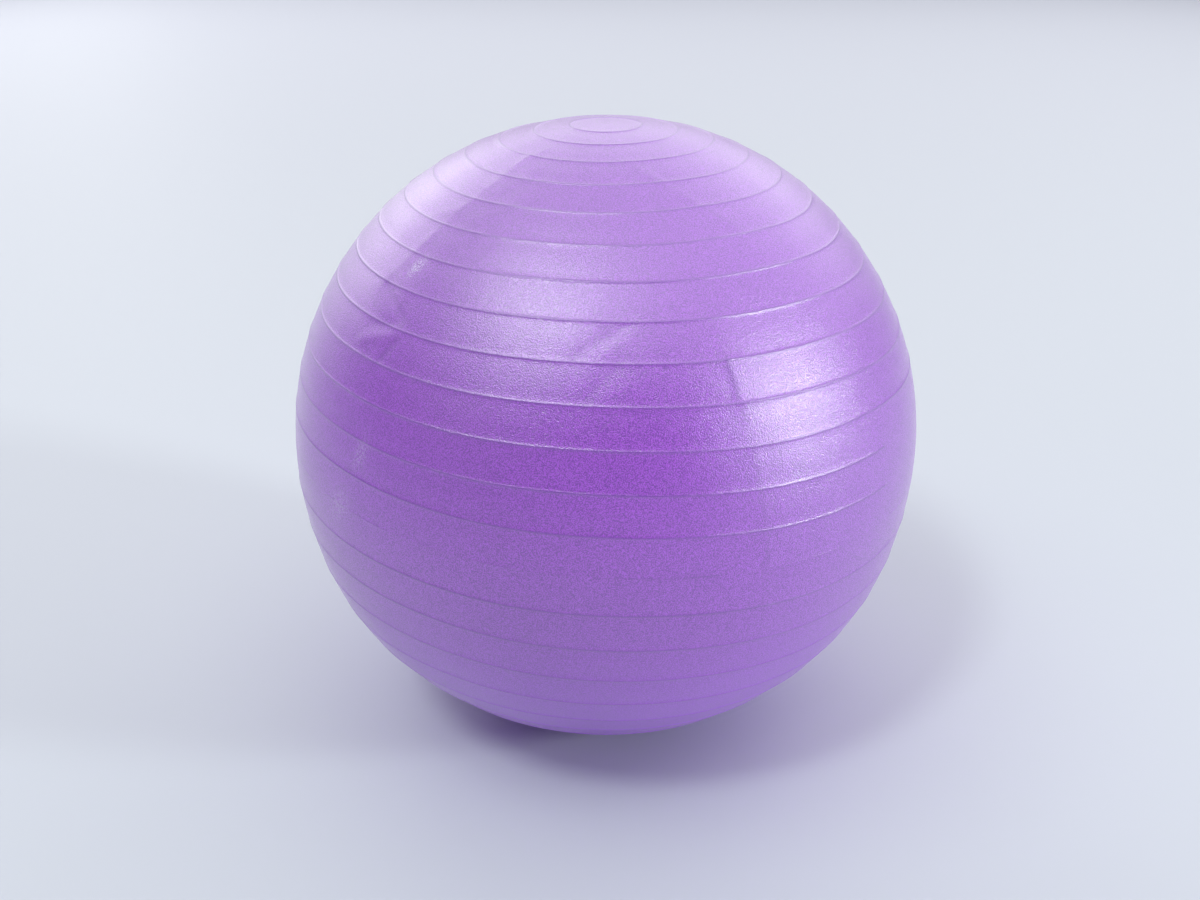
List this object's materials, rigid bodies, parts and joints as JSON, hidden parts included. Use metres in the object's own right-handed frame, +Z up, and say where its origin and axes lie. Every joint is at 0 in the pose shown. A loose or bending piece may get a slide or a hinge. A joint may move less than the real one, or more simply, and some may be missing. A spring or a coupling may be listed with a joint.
{
  "type": "exercise ball",
  "caption": "Large inflated exercise ball with raised latitude grip ribs, a plain side panel and a push-in valve plug.",
  "frame": {"origin": "centre of the flat on which the resting ball stands, at the floor", "axes": "+Z up along the ball's polar axis through the centres of its ribs; +X towards the plain panel and the valve; +Y completes the right-handed frame"},
  "size_m": [0.6504, 0.6504, 0.6444],
  "materials": {
    "skin": "satin soft PVC, fine grain",
    "seat": "satin moulded PVC, smoother than the skin",
    "plug": "soft milky polyethylene"
  },
  "bodies": {
    "ball": {"ball_skin": "skin", "valve_seat": "seat"},
    "plug": {"valve_plug": "plug"}
  },
  "joints": [
    {"name": "plug_pull", "type": "slide", "parent": "ball", "child": "plug", "axis": [0.9859, 0, 0.1675], "range_m": [0, 0.04]}
  ]
}
